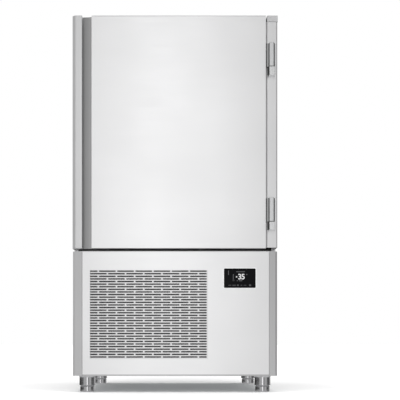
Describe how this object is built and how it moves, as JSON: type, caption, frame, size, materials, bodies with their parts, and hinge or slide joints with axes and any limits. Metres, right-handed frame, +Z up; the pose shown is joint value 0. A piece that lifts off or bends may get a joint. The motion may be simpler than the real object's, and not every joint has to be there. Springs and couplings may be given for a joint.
{
  "type": "blast chiller",
  "caption": "Reach-in blast chiller: an insulated tray chamber behind a hinged door with a full-height grip, over a machine compartment with a slotted front and a display, on adjustable feet.",
  "frame": {"origin": "on the floor, at the centre of the overall box in plan", "axes": "+X to the right seen from the front, +Y from the front to the back, +Z up"},
  "size_m": [0.79, 0.8, 1.45],
  "materials": {
    "satin_steel": "satin stainless sheet",
    "polished_steel": "polished stainless",
    "hinge_metal": "satin chromed casting",
    "cap_grey": "grey moulding",
    "black_plastic": "black moulding",
    "foam": "rigid foam",
    "gasket": "soft seal",
    "black_rubber": "damping rubber",
    "galvanised": "zinc coated",
    "fins": "fin sheet",
    "copper": "copper tube",
    "black_paint": "black enamel",
    "grey_paint": "grey enamel",
    "motor_grey": "dark enamel",
    "board_green": "circuit board",
    "black_glass": "black printed glass"
  },
  "bodies": {
    "cabinet": {"air_filter": "black_plastic", "back_panel": "satin_steel", "base_pan": "galvanised", "cabinet_insulation": "foam", "cable_gland": "black_plastic", "chamber_liner": "satin_steel", "compressor": "black_paint", "compressor_mounts": "black_rubber", "condenser_coil": "fins", "condenser_fan_motor": "motor_grey", "condenser_shroud": "galvanised", "condenser_tubes": "copper", "control_board": "board_green", "display_glass": "black_glass", "display_housing": "cap_grey", "door_frame_trim": "black_plastic", "drain_pipe": "black_plastic", "drip_pan": "satin_steel", "electrical_box": "grey_paint", "evaporator_coil": "fins", "evaporator_fan_motors": "motor_grey", "evaporator_motor_brackets": "satin_steel", "evaporator_tubes": "copper", "fan_guards": "polished_steel", "fan_panel": "satin_steel", "filter_drier": "copper", "foot_sleeves": "polished_steel", "front_panel": "satin_steel", "hinge_bushes": "black_plastic", "hinge_frame_blocks": "hinge_metal", "hinge_pins": "polished_steel", "hinge_post": "satin_steel", "hinge_post_cap": "cap_grey", "liquid_receiver": "black_paint", "lower_back_panel": "satin_steel", "lower_side_panel_left": "satin_steel", "lower_side_panel_right": "satin_steel", "machine_deck": "satin_steel", "machine_frame": "galvanised", "outer_casing": "satin_steel", "panel_screws": "polished_steel", "rack_posts": "satin_steel", "refrigerant_pipes": "copper", "top_cover": "satin_steel", "tray_runners": "satin_steel"},
    "door": {"door_skin": "satin_steel", "door_foam": "foam", "door_inner_panel": "satin_steel", "door_grip_profile": "satin_steel", "door_end_caps": "cap_grey", "door_gasket": "gasket", "hinge_door_blocks": "hinge_metal"},
    "evaporator_fan_upper": {"evaporator_impeller_upper": "black_plastic"},
    "evaporator_fan_lower": {"evaporator_impeller_lower": "black_plastic"},
    "condenser_fan": {"condenser_impeller": "black_plastic"},
    "levelling_foot_front_left": {"foot_front_left": "polished_steel"},
    "levelling_foot_front_right": {"foot_front_right": "polished_steel"},
    "levelling_foot_rear_left": {"foot_rear_left": "polished_steel"},
    "levelling_foot_rear_right": {"foot_rear_right": "polished_steel"}
  },
  "joints": [
    {"name": "door_hinge", "type": "hinge", "parent": "cabinet", "child": "door", "pos_m": [0.3705, -0.39275, 0.959], "axis": [0, 0, 1], "range_deg": [0, 110]},
    {"name": "evaporator_fan_upper_spin", "type": "hinge", "parent": "cabinet", "child": "evaporator_fan_upper", "pos_m": [0, 0.17, 1.1935], "axis": [0, 1, 0], "continuous": true},
    {"name": "evaporator_fan_lower_spin", "type": "hinge", "parent": "cabinet", "child": "evaporator_fan_lower", "pos_m": [0, 0.17, 0.8005], "axis": [0, 1, 0], "continuous": true},
    {"name": "condenser_fan_spin", "type": "hinge", "parent": "cabinet", "child": "condenser_fan", "pos_m": [-0.1, -0.24, 0.287], "axis": [0, 1, 0], "continuous": true},
    {"name": "foot_front_left_screw", "type": "slide", "parent": "cabinet", "child": "levelling_foot_front_left", "axis": [0, 0, -1], "range_m": [0, 0.02]},
    {"name": "foot_front_right_screw", "type": "slide", "parent": "cabinet", "child": "levelling_foot_front_right", "axis": [0, 0, -1], "range_m": [0, 0.02]},
    {"name": "foot_rear_left_screw", "type": "slide", "parent": "cabinet", "child": "levelling_foot_rear_left", "axis": [0, 0, -1], "range_m": [0, 0.02]},
    {"name": "foot_rear_right_screw", "type": "slide", "parent": "cabinet", "child": "levelling_foot_rear_right", "axis": [0, 0, -1], "range_m": [0, 0.02]}
  ]
}
